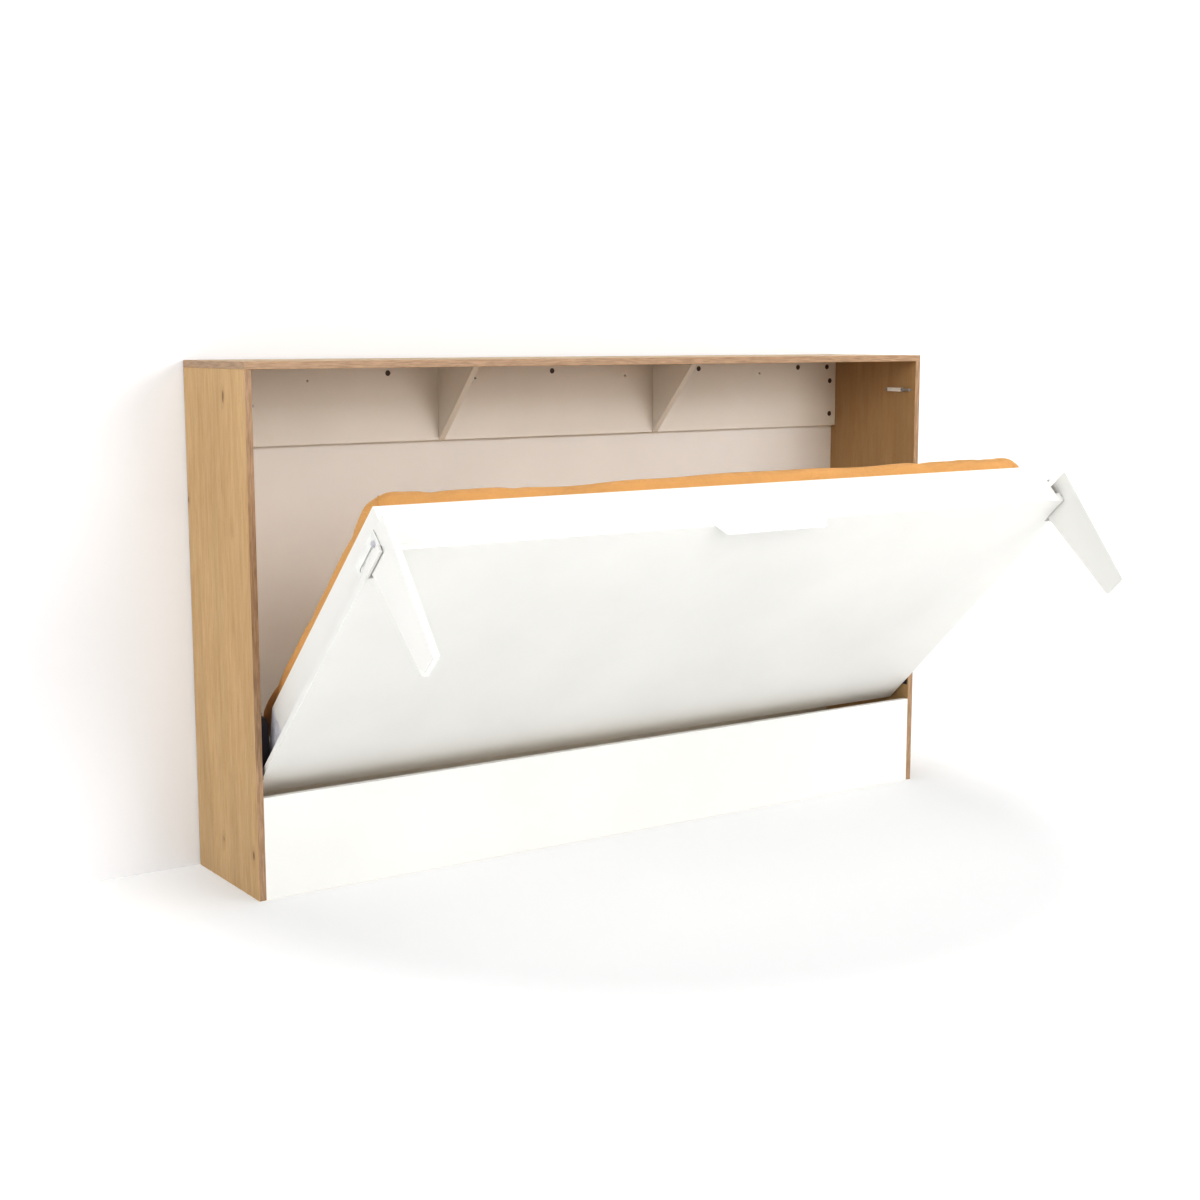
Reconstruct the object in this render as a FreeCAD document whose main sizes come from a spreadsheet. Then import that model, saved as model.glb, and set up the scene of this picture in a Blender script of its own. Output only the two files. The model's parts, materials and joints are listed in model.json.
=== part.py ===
import FreeCAD, Part

# A single wall bed that folds down sideways out of a low oak cabinet.
#
# Frame: X runs along the bed, the wall is the plane Y = 0, the room is on the -Y side, the floor is
# Z = 0 and X = 0 is the middle of the cabinet. Lengths are millimetres and angles degrees.
#
# Cabinet pieces are placed by (x, depth from the cabinet's front, height above the floor).
# Bed pieces are placed by (x, inset, rise): inset is measured from the outer face of the front panel
# into the cabinet and rise from the panel's free edge, both with the bed closed. bed_placement then
# turns them about the pivot to the half-open rest position.

import os
import re

import Sketcher
from FreeCAD import Placement, Rotation, Vector

SIZES = {
    # cabinet
    "cabinet_width": 2150,
    "cabinet_height": 1294,
    "cabinet_depth": 376,
    "board": 18,
    "plinth_height": 254,
    "back_thickness": 3,
    "rail_height": 203,
    "lower_rail_height": 120,
    "gusset_depth": 195,
    "gusset_offset": 357,
    "edge_break": 0.6,
    # wall screws and cam fasteners in the rails
    "wall_hole_radius": 3.25,
    "wall_hole_spacing": 500,
    "wall_hole_height": 1238,
    "lower_wall_hole_height": 60,
    "cam_radius": 7.5,
    "cam_depth": 12.5,
    "cam_gap": 0.1,
    "cam_inset": 0.5,
    "cam_drop": 21,
    "cam_spacing": 517,
    "cam_outer_left": 916,
    "cam_outer_right": 902,
    "cam_end": 1020,
    "cam_side": 1033,
    "cam_side_high": 1212,
    "cam_side_low": 1110,
    # soft-close dampers on the side panels
    "damper_height": 1191,
    "damper_radius": 5,
    "damper_front": 44,
    "damper_back": 117,
    "damper_bore": 3.06,
    "damper_bore_depth": 40,
    "clip_front": 52,
    "clip_back": 108,
    "clip_wall": 1,
    "plunger_front": 17,
    "plunger_radius": 3,
    "plunger_length": 55,
    "plunger_tip_radius": 4.5,
    "plunger_tip_length": 6,
    # hinge
    "pivot_inset": 57,
    "pivot_height": 341,
    "rest_tilt": 46.1,
    "pin_radius": 6,
    "pin_inner": 1015.5,
    "pin_collar_radius": 10,
    "pin_collar_length": 3.9,
    "hinge_plate": 3,
    "hinge_plate_front": 5,
    "hinge_plate_back": 108,
    "hinge_plate_bottom": 298,
    "hinge_plate_top": 463,
    "housing_inner": 1026,
    "housing_wall": 2,
    "housing_front": 28,
    "housing_back": 100,
    "housing_bottom": 313,
    "housing_top": 440,
    "housing_cut": 14,
    "spring_inner": 6.1,
    "spring_strip": 1.5,
    "spring_pitch": 3.5,
    "spring_width": 18,
    "spring_gap": 2,
    "running_gap": 0.06,
    # bed frame
    "closed_top": 1222,
    "panel_width": 2101,
    "panel_height": 954,
    "panel": 16,
    "notch_inner": 1022,
    "notch_outer": 1043,
    "notch_depth": 93,
    "frame_board": 16,
    "frame_depth": 104,
    "frame_inner": 1006.5,
    "hinge_board_rise": 936,
    "end_board_length": 760,
    "cutout_low": 25,
    "cutout_high": 72,
    "cutout_depth": 55,
    "cleat_width": 20,
    "cleat_thickness": 16,
    "cleat_length": 1990,
    "slat_thickness": 8,
    "slat_width": 90,
    "slat_pitch": 200,
    "mattress_length": 2000,
    "mattress_width": 900,
    "mattress_thickness": 145,
    "mattress_margin": 18,
    "mattress_corner": 65,
    "mattress_rounding": 24,
    "bracket": 3,
    "bracket_flange": 110,
    "bracket_low": 20,
    "bracket_high": 118,
    "bush_radius": 9,
    "bush_flange_radius": 13,
    "bush_flange": 2,
    # handle
    "handle_thickness": 2.5,
    "handle_base": 350,
    "handle_tip": 300,
    "handle_reach": 29,
    "handle_overlap": 15,
    "handle_rounding": 12,
    # legs
    "leg": 16,
    "leg_inner": 1024.5,
    "leg_top": 59,
    "leg_foot": 281,
    "leg_top_outer": 50,
    "leg_top_inner": 84,
    "leg_foot_outer": 14,
    "leg_foot_inner": 55,
    "leg_bolt_inset": 34,
    "leg_bolt_rise": 18,
    "leg_bolt_radius": 4,
    "leg_bolt_head_radius": 7,
    "leg_bolt_head": 5,
    "leg_bolt_length": 39,
    "leg_bush_radius": 7,
    "glide": 3,
    "glide_margin": 4,
    "guide_inner": 1041.5,
    "guide": 2.5,
    "guide_top": 60,
    "guide_start": 2,
    "guide_end": 125,
    "slot_length": 91,
    "slot_radius": 4.1,
    "guide_foot": 6,
    "guide_foot_start": 50,
    "nut_gap": 0.1,
    "nut_radius": 7.5,
    "nut_length": 8,
    "nut_flange_radius": 9,
    "nut_flange": 1.4,
    # screws
    "screw_head_radius": 4,
    "screw_head": 2,
    "screw_radius": 1.75,
    "screw_length": 15,
}

SLATS = 10
SPRING_HALF_TURNS = 7
SIDES = {"left": -1, "right": 1}

doc = FreeCAD.newDocument("wall_bed")
sheet = doc.addObject("Spreadsheet::Sheet", "Sizes")
for row, (alias, number) in enumerate(SIZES.items(), start=1):
    sheet.set(f"A{row}", alias)
    sheet.set(f"B{row}", str(number))
    sheet.setAlias(f"B{row}", alias)
doc.recompute()

pieces = []


# ---------------------------------------------------------------- sheet, sketches and features

def bound(expression):
    """The expression with the sheet's name before every alias."""
    return re.sub(r"[a-z][a-z_]+", lambda word: "Sizes." + word.group(), str(expression))


def size(expression):
    """The number that an expression of aliases comes to."""
    return float(sheet.evalExpression(bound(expression)))


def negated(expression):
    return f"-({expression})"


def signed(side, expression):
    """The expression on the right, its negative on the left."""
    return expression if side > 0 else negated(expression)


def new_body(label):
    body = doc.addObject("PartDesign::Body", label)
    body.AllowCompound = True
    return body


def new_sketch(body, plane):
    sketch = body.newObject("Sketcher::SketchObject", f"{body.Name}_sketch")
    origin_plane = [item for item in body.Origin.OriginFeatures if item.Role == plane][0]
    sketch.AttachmentSupport = (origin_plane, [""])
    sketch.MapMode = "FlatFace"
    return sketch


def pin_point(sketch, geometry, point, across, up):
    """Hold a point at bound distances from the sketch's origin."""
    for kind, expression in (("DistanceX", across), ("DistanceY", up)):
        constraint = Sketcher.Constraint(kind, -1, 1, geometry, point, size(expression))
        index = sketch.addConstraint(constraint)
        sketch.setExpression(f"Constraints[{index}]", bound(expression))


def add_outline(sketch, corners):
    """A closed polygon whose corners are pairs of expressions."""
    points = [Vector(size(across), size(up), 0) for across, up in corners]
    lines = []
    for start, end in zip(points, points[1:] + points[:1]):
        lines.append(sketch.addGeometry(Part.LineSegment(start, end), False))
    for line, following in zip(lines, lines[1:] + lines[:1]):
        sketch.addConstraint(Sketcher.Constraint("Coincident", line, 2, following, 1))
    for line, (across, up) in zip(lines, corners):
        pin_point(sketch, line, 1, across, up)


def add_circle(sketch, across, up, radius):
    centre = Vector(size(across), size(up), 0)
    circle = sketch.addGeometry(Part.Circle(centre, Vector(0, 0, 1), size(radius)), False)
    pin_point(sketch, circle, 3, across, up)
    index = sketch.addConstraint(Sketcher.Constraint("Radius", circle, size(radius)))
    sketch.setExpression(f"Constraints[{index}]", bound(radius))


def pad(body, sketch, length, backwards=False):
    feature = body.newObject("PartDesign::Pad", f"{body.Name}_pad")
    feature.Profile = sketch
    feature.setExpression("Length", bound(length))
    feature.Reversed = backwards
    sketch.Visibility = False
    doc.recompute()
    return feature


def pocket(body, sketch, length=None, backwards=False):
    """Cut a sketch away, to a depth or right through, and check that it took something."""
    before = body.Shape.Volume
    feature = body.newObject("PartDesign::Pocket", f"{body.Name}_pocket")
    feature.Profile = sketch
    if length is None:
        feature.Type = "ThroughAll"
        feature.Midplane = True
    else:
        feature.setExpression("Length", bound(length))
        feature.Reversed = backwards
    doc.recompute()
    if not body.Shape.Volume < before:
        raise RuntimeError(f"{body.Label}: a pocket cuts nothing")
    return feature


def round_edges(body, kind, amount, choose=None):
    """Fillet or chamfer the edges that choose picks, or all of them."""
    feature = body.newObject(f"PartDesign::{kind}", f"{body.Name}_{kind.lower()}")
    tip = body.Tip if body.Tip is not feature else feature.BaseFeature
    if choose is None:
        feature.Base = (tip, [""])
        feature.UseAllEdges = True
    else:
        names = [f"Edge{i}" for i, edge in enumerate(tip.Shape.Edges, start=1) if choose(edge)]
        feature.Base = (tip, names)
    feature.setExpression("Radius" if kind == "Fillet" else "Size", bound(amount))
    body.Tip = feature
    doc.recompute()
    return feature


# ---------------------------------------------------------------- placing

PIVOT = Vector(0, size("pivot_inset - cabinet_depth"), size("pivot_height"))
bed_tilt = Placement(Vector(), Rotation(Vector(1, 0, 0), size("rest_tilt")), PIVOT)


def cabinet_placement(x=0, depth=0, height=0):
    return Placement(Vector(size(x), size(depth) - size("cabinet_depth"), size(height)), Rotation())


def bed_placement(x=0, inset=0, rise=0):
    closed = cabinet_placement(x, inset, f"closed_top + {rise}")
    return bed_tilt.multiply(closed)


def keep(item, placement):
    """Place a finished sub-part and list it for export."""
    item.Placement = placement
    pieces.append(item)
    return item


def board(label, plane, corners, thickness, placement, edge="edge_break"):
    """A flat piece: an outline on one of the origin planes, padded to its thickness.

    XY_Plane pads up, XZ_Plane pads towards the wall and YZ_Plane pads towards +X.
    """
    body = new_body(label)
    sketch = new_sketch(body, plane)
    add_outline(sketch, corners)
    pad(body, sketch, thickness, backwards=plane == "XZ_Plane")
    if edge:
        round_edges(body, "Chamfer", edge)
    return keep(body, placement)


def drill(body, plane, centres, radius, depth=None, backwards=False):
    sketch = new_sketch(body, plane)
    for across, up in centres:
        add_circle(sketch, across, up, radius)
    return pocket(body, sketch, depth, backwards)


def turned(label, plane, centres, steps, placement, backwards=False, bore=None):
    """Round pieces, each a stack of discs from one plane: steps are (radius, length) pairs."""
    body = new_body(label)
    for radius, length in steps:
        sketch = new_sketch(body, plane)
        for across, up in centres:
            add_circle(sketch, across, up, radius)
            if bore:
                add_circle(sketch, across, up, bore)
        pad(body, sketch, length, backwards)
    return keep(body, placement)


def group(label, items):
    """Identical fasteners as one sub-part of separate solids."""
    compound = doc.addObject("Part::Compound", label)
    compound.Links = items
    for item in items:
        pieces.remove(item)
    doc.recompute()
    return keep(compound, Placement())


def spring_outline(drop):
    """The edge of a flat strip wound in half rings, whose centres step to and fro by half a pitch.

    Its outer end runs straight down by drop, to the floor of the housing.
    """
    radius, strip, half_pitch = size("spring_inner"), size("spring_strip"), size("spring_pitch") / 2
    sides = {0: [], strip: []}
    for turn in range(SPRING_HALF_TURNS):
        way = -1 if turn % 2 else 1
        centre = half_pitch * (turn % 2)
        for offset, arcs in sides.items():
            reach = way * (radius + offset)
            start, middle, end = (0, centre + reach, 0), (0, centre, reach), (0, centre - reach, 0)
            arcs.append(Part.Arc(Vector(start), Vector(middle), Vector(end)).toShape())
        radius += half_pitch
    starts = [arcs[0].Vertexes[0].Point for arcs in sides.values()]
    ends = [arcs[-1].Vertexes[-1].Point for arcs in sides.values()]
    feet = [end - Vector(0, 0, size(drop)) for end in ends]
    tail = [Part.makeLine(end, foot) for end, foot in zip(ends, feet)]
    caps = [Part.makeLine(*starts), Part.makeLine(*feet)]
    return Part.Wire(Part.__sortEdges__(sides[0] + sides[strip] + tail + caps))


def rectangle(left, right, low, high):
    return [(left, low), (right, low), (right, high), (left, high)]


def side_start(side, inner, thickness):
    """Where a plate that pads towards +X starts, so that its inner face is at +-inner."""
    return inner if side > 0 else f"-({inner}) - ({thickness})"


# ---------------------------------------------------------------- cabinet boards

half_width = "cabinet_width / 2"
half_inside = "cabinet_width / 2 - board"
under_top = "cabinet_height - board"

for name, side in SIDES.items():
    board(
        f"side_panel_{name}",
        "YZ_Plane",
        rectangle("0", "cabinet_depth", "0", under_top),
        "board",
        cabinet_placement(side_start(side, half_inside, "board")),
    )

board(
    "top_panel",
    "XY_Plane",
    rectangle(negated(half_width), half_width, "0", "cabinet_depth"),
    "board",
    cabinet_placement(height=under_top),
)

board(
    "plinth",
    "XZ_Plane",
    rectangle(negated(half_inside), half_inside, "0", "plinth_height"),
    "board",
    cabinet_placement(),
)

back_panel = board(
    "back_panel",
    "XZ_Plane",
    rectangle(negated(half_inside), half_inside, "0", under_top),
    "back_thickness",
    cabinet_placement(depth="cabinet_depth - back_thickness"),
    edge=None,
)

rail_depth = "cabinet_depth - back_thickness - board"
rail_bottom = "cabinet_height - board - rail_height"

upper_rail = board(
    "upper_rail",
    "XZ_Plane",
    rectangle(negated(half_inside), half_inside, rail_bottom, under_top),
    "board",
    cabinet_placement(depth=rail_depth),
)

lower_rail = board(
    "lower_rail",
    "XZ_Plane",
    rectangle(negated(half_inside), half_inside, "0", "lower_rail_height"),
    "board",
    cabinet_placement(depth=rail_depth),
)

upper_wall_holes = [
    (f"wall_hole_spacing * {step}", "wall_hole_height") for step in (-1.5, -0.5, 0.5, 1.5)
]
lower_wall_holes = [
    (f"wall_hole_spacing * {step}", "lower_wall_hole_height") for step in (-1.5, 1.5)
]
drill(upper_rail, "XZ_Plane", upper_wall_holes, "wall_hole_radius")
drill(lower_rail, "XZ_Plane", lower_wall_holes, "wall_hole_radius")
drill(back_panel, "XZ_Plane", upper_wall_holes + lower_wall_holes, "wall_hole_radius")

cam_row = "cabinet_height - board - cam_drop"
cam_places = [("0", cam_row), ("-cam_outer_left", cam_row), ("cam_outer_right", cam_row)]
for side in SIDES.values():
    for across in ("cam_spacing", "cam_end"):
        cam_places.append((signed(side, across), cam_row))
    for up in ("cam_side_high", "cam_side_low"):
        cam_places.append((signed(side, "cam_side"), up))
drill(upper_rail, "XZ_Plane", cam_places, "cam_radius", "cam_depth")
turned(
    "rail_cams",
    "XZ_Plane",
    cam_places,
    [("cam_radius - cam_gap", "cam_depth - cam_inset")],
    cabinet_placement(depth=f"{rail_depth} + cam_inset"),
    backwards=True,
)

for name, side in SIDES.items():
    board(
        f"gusset_{name}",
        "YZ_Plane",
        [
            (rail_depth, rail_bottom),
            (rail_depth, under_top),
            (f"{rail_depth} - gusset_depth", under_top),
        ],
        "board",
        cabinet_placement(side_start(side, "gusset_offset - board / 2", "board")),
    )


# ---------------------------------------------------------------- dampers near the cabinet's front

damper_axis = "cabinet_width / 2 - board - damper_radius - clip_wall"
clip_half = "damper_radius + clip_wall"


def damper_placement(side, depth):
    return cabinet_placement(signed(side, damper_axis), depth, "damper_height")


clips = []
for name, side in SIDES.items():
    damper = turned(
        f"damper_body_{name}",
        "XZ_Plane",
        [("0", "0")],
        [("damper_radius", "damper_back - damper_front")],
        damper_placement(side, "damper_front"),
        backwards=True,
    )
    drill(damper, "XZ_Plane", [("0", "0")], "damper_bore", "damper_bore_depth")

    clip = board(
        f"damper_clip_{name}",
        "XZ_Plane",
        rectangle(negated(clip_half), clip_half, negated(clip_half), clip_half),
        "clip_back - clip_front",
        damper_placement(side, "clip_front"),
    )
    drill(clip, "XZ_Plane", [("0", "0")], "damper_radius")
    clips.append(clip)

    turned(
        f"damper_plunger_{name}",
        "XZ_Plane",
        [("0", "0")],
        [("plunger_tip_radius", "plunger_tip_length"), ("plunger_radius", "plunger_length")],
        damper_placement(side, "plunger_front"),
        backwards=True,
    )
group("damper_clips", clips)


# ---------------------------------------------------------------- hinge hardware on the cabinet

plate_inner = f"{half_inside} - hinge_plate"
housing_length = f"{plate_inner} - housing_inner"
pin_length = f"{half_inside} - pin_inner"
pivot = ("pivot_inset", "pivot_height")

housing_outline = [
    ("housing_front", "housing_bottom + housing_cut"),
    ("housing_front + housing_cut", "housing_bottom"),
    ("housing_back", "housing_bottom"),
    ("housing_back", "housing_top"),
    ("housing_front + housing_cut", "housing_top"),
    ("housing_front", "housing_top - housing_cut"),
]
housing_cavity = rectangle(
    "housing_front + housing_cut / 2 + housing_wall",
    "housing_back - housing_wall",
    "housing_bottom + housing_cut / 2 + housing_wall",
    "housing_top - housing_cut / 2 - housing_wall",
)
plate_screws = [
    (across, up)
    for across in ("hinge_plate_front + 12", "hinge_plate_back - 12")
    for up in ("hinge_plate_top - 10", "hinge_plate_bottom + 8")
]

screws = []
for name, side in SIDES.items():
    plate = board(
        f"hinge_plate_{name}",
        "YZ_Plane",
        rectangle("hinge_plate_front", "hinge_plate_back", "hinge_plate_bottom", "hinge_plate_top"),
        "hinge_plate",
        cabinet_placement(side_start(side, plate_inner, "hinge_plate")),
    )
    drill(plate, "YZ_Plane", [pivot], "pin_radius")
    drill(plate, "YZ_Plane", plate_screws, "screw_radius")

    housing = board(
        f"hinge_housing_{name}",
        "YZ_Plane",
        housing_outline,
        housing_length,
        cabinet_placement(side_start(side, "housing_inner", housing_length)),
    )
    cavity = new_sketch(housing, "YZ_Plane")
    if side > 0:
        cavity.AttachmentOffset = Placement(Vector(0, 0, size("housing_wall")), Rotation())
    add_outline(cavity, housing_cavity)
    pocket(housing, cavity, f"{housing_length} - housing_wall", backwards=True)
    drill(housing, "YZ_Plane", [pivot], "pin_radius + running_gap")

    turned(
        f"pivot_pin_{name}",
        "YZ_Plane",
        [pivot],
        [("pin_collar_radius", "pin_collar_length"), ("pin_radius", pin_length)],
        cabinet_placement(signed(side, "pin_inner")),
        backwards=side < 0,
    )

    screw_row = turned(
        f"plate_screws_{name}",
        "YZ_Plane",
        plate_screws,
        [("screw_head_radius", "screw_head"), ("screw_radius", "screw_length")],
        cabinet_placement(signed(side, f"{plate_inner} - screw_head")),
        backwards=side < 0,
    )
    screws.append(screw_row)

    strip = doc.addObject("Part::Feature", f"spring_strip_{name}")
    strip.Shape = spring_outline("pivot_height - housing_bottom - housing_cut / 2 - housing_wall")
    spring = doc.addObject("Part::Extrusion", f"torsion_spring_{name}")
    spring.Base = strip
    spring.DirMode = "Custom"
    spring.Dir = Vector(1, 0, 0)
    spring.setExpression("LengthFwd", bound("spring_width"))
    spring.Solid = True
    doc.recompute()
    spring_start = f"{plate_inner} - spring_gap - spring_width"
    keep(spring, cabinet_placement(side_start(side, spring_start, "spring_width"), *pivot))
group("hinge_plate_screws", screws)


# ---------------------------------------------------------------- bed frame

panel_half = "panel_width / 2"
frame_low = "panel"
frame_high = "panel + frame_depth"
slat_bottom = "panel + cleat_thickness"
mattress_bottom = f"{slat_bottom} + slat_thickness"

board(
    "front_panel",
    "XZ_Plane",
    [
        (negated(panel_half), "-panel_height"),
        (panel_half, "-panel_height"),
        (panel_half, "0"),
        ("notch_outer", "0"),
        ("notch_outer", "-notch_depth"),
        ("notch_inner", "-notch_depth"),
        ("notch_inner", "0"),
        ("-notch_inner", "0"),
        ("-notch_inner", "-notch_depth"),
        ("-notch_outer", "-notch_depth"),
        ("-notch_outer", "0"),
        (negated(panel_half), "0"),
    ],
    "panel",
    bed_placement(),
)

board(
    "free_edge_board",
    "XY_Plane",
    rectangle("-frame_inner", "frame_inner", frame_low, frame_high),
    "frame_board",
    bed_placement(rise="-frame_board"),
)

board(
    "hinge_edge_board",
    "XY_Plane",
    rectangle(
        "-frame_inner - frame_board + bracket",
        "frame_inner + frame_board - bracket",
        frame_low,
        frame_high,
    ),
    "frame_board",
    bed_placement(rise="-hinge_board_rise"),
)

for name, side in SIDES.items():
    board(
        f"end_board_{name}",
        "YZ_Plane",
        [
            (frame_low, "-end_board_length"),
            (frame_high, "-end_board_length"),
            (frame_high, "0"),
            ("cutout_high", "0"),
            ("cutout_high", "-cutout_depth"),
            ("cutout_low", "-cutout_depth"),
            ("cutout_low", "0"),
            (frame_low, "0"),
        ],
        "frame_board",
        bed_placement(side_start(side, "frame_inner", "frame_board")),
    )

cleat_rises = {
    "free_edge": "-frame_board - cleat_width",
    "hinge_edge": "frame_board - hinge_board_rise",
}
for name, rise in cleat_rises.items():
    board(
        f"slat_cleat_{name}",
        "XY_Plane",
        rectangle("-cleat_length / 2", "cleat_length / 2", frame_low, slat_bottom),
        "cleat_width",
        bed_placement(rise=rise),
    )

slat_end = "frame_board + 1"
for number in range(SLATS):
    middle = f"slat_pitch * ({number} - {SLATS - 1} / 2)"
    board(
        f"slat_{number + 1:02d}",
        "XZ_Plane",
        rectangle(
            f"{middle} - slat_width / 2",
            f"{middle} + slat_width / 2",
            f"{slat_end} - hinge_board_rise",
            negated(slat_end),
        ),
        "slat_thickness",
        bed_placement(inset=slat_bottom),
    )

mattress = board(
    "mattress",
    "XZ_Plane",
    rectangle(
        "-mattress_length / 2",
        "mattress_length / 2",
        "-mattress_margin - mattress_width",
        "-mattress_margin",
    ),
    "mattress_thickness",
    bed_placement(inset=mattress_bottom),
    edge=None,
)


def is_through_thickness(edge):
    """True for an edge that runs through the thickness of the mattress."""
    ends = [vertex.Point for vertex in edge.Vertexes]
    return len(ends) == 2 and abs(ends[0].y - ends[1].y) > 1


round_edges(mattress, "Fillet", "mattress_corner", is_through_thickness)
round_edges(mattress, "Fillet", "mattress_rounding", lambda edge: not is_through_thickness(edge))


# ---------------------------------------------------------------- handle plate

handle = board(
    "handle_plate",
    "XY_Plane",
    [
        ("-handle_base / 2", "handle_overlap"),
        ("-handle_base / 2", "0"),
        ("-handle_tip / 2", "-handle_reach"),
        ("handle_tip / 2", "-handle_reach"),
        ("handle_base / 2", "0"),
        ("handle_base / 2", "handle_overlap"),
    ],
    "handle_thickness",
    bed_placement(),
    edge=None,
)


def is_tip_corner(edge):
    """True for the two short edges through the plate at the handle's tip."""
    ends = [vertex.Point for vertex in edge.Vertexes]
    at_tip = all(abs(end.y + size("handle_reach")) < 0.01 for end in ends)
    return len(ends) == 2 and at_tip and abs(ends[0].z - ends[1].z) > 1


round_edges(handle, "Fillet", "handle_rounding", is_tip_corner)
handle_screws = [(f"handle_tip * {share}", "panel / 2") for share in (-0.5, -0.2, 0.2, 0.5)]
drill(handle, "XY_Plane", handle_screws, "screw_head_radius")
turned(
    "handle_screws",
    "XY_Plane",
    handle_screws,
    [("screw_head_radius", "handle_thickness"), ("screw_radius", "screw_length")],
    bed_placement(rise="handle_thickness"),
    backwards=True,
)


# ---------------------------------------------------------------- bed side of the hinge

bracket_start = "-end_board_length - bracket"
bracket_outer = "frame_inner + frame_board"
bracket_outline = [
    ("panel", bracket_start),
    ("bracket_high", bracket_start),
    ("pivot_inset + 12", "pivot_height - closed_top + 44"),
    ("pivot_inset + 26", "pivot_height - closed_top + 20"),
    ("pivot_inset + 26", "pivot_height - closed_top - 20"),
    ("pivot_inset + 12", "-hinge_board_rise"),
    ("panel", "-hinge_board_rise"),
]
bed_pivot = ("pivot_inset", "pivot_height - closed_top")
flange_screws = [
    (across, f"{bracket_start} + {up}")
    for across in ("bracket_low + 15", "bracket_high - 15")
    for up in (35, 90)
]

screws = []
for name, side in SIDES.items():
    bracket = new_body(f"hinge_bracket_{name}")
    web = new_sketch(bracket, "YZ_Plane")
    web.AttachmentOffset = Placement(
        Vector(0, 0, size(side_start(side, f"{bracket_outer} - bracket", "bracket"))), Rotation()
    )
    add_outline(web, bracket_outline)
    pad(bracket, web, "bracket")
    fold = new_sketch(bracket, "XY_Plane")
    fold.AttachmentOffset = Placement(Vector(0, 0, size(bracket_start)), Rotation())
    add_outline(
        fold,
        [
            (signed(side, "frame_inner - bracket"), "bracket_low"),
            (signed(side, bracket_outer), "bracket_low"),
            (signed(side, bracket_outer), "bracket_high"),
            (signed(side, "frame_inner - bracket"), "bracket_high"),
        ],
    )
    pad(bracket, fold, "bracket")
    flange = new_sketch(bracket, "XY_Plane")
    flange.AttachmentOffset = Placement(Vector(0, 0, size(bracket_start)), Rotation())
    add_outline(
        flange,
        [
            (signed(side, "frame_inner - bracket"), "bracket_low"),
            (signed(side, "frame_inner"), "bracket_low"),
            (signed(side, "frame_inner"), "bracket_high"),
            (signed(side, "frame_inner - bracket"), "bracket_high"),
        ],
    )
    pad(bracket, flange, "bracket_flange")
    drill(bracket, "YZ_Plane", [bed_pivot], "bush_radius")
    drill(bracket, "YZ_Plane", [("bracket_high - 33", f"{bracket_start} - 10")], "screw_radius")
    drill(bracket, "YZ_Plane", flange_screws, "screw_radius")
    keep(bracket, bed_placement())

    turned(
        f"hinge_bush_{name}",
        "YZ_Plane",
        [bed_pivot],
        [("bush_radius", "bracket + bush_flange"), ("bush_flange_radius", "bush_flange")],
        bed_placement(signed(side, f"{bracket_outer} + bush_flange")),
        backwards=side > 0,
        bore="pin_radius + running_gap",
    )

    screw_row = turned(
        f"flange_screws_{name}",
        "YZ_Plane",
        flange_screws,
        [("screw_head_radius", "screw_head"), ("screw_radius", "screw_length")],
        bed_placement(signed(side, "frame_inner - bracket - screw_head")),
        backwards=side < 0,
    )
    screws.append(screw_row)
group("bracket_screws", screws)


# ---------------------------------------------------------------- legs and what they turn on

leg_bolt = ("leg_bolt_inset", "-leg_bolt_rise")
guide_outer = "guide_inner + guide"
slot_end = ("leg_bolt_inset", "-leg_bolt_rise - slot_length")

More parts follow.
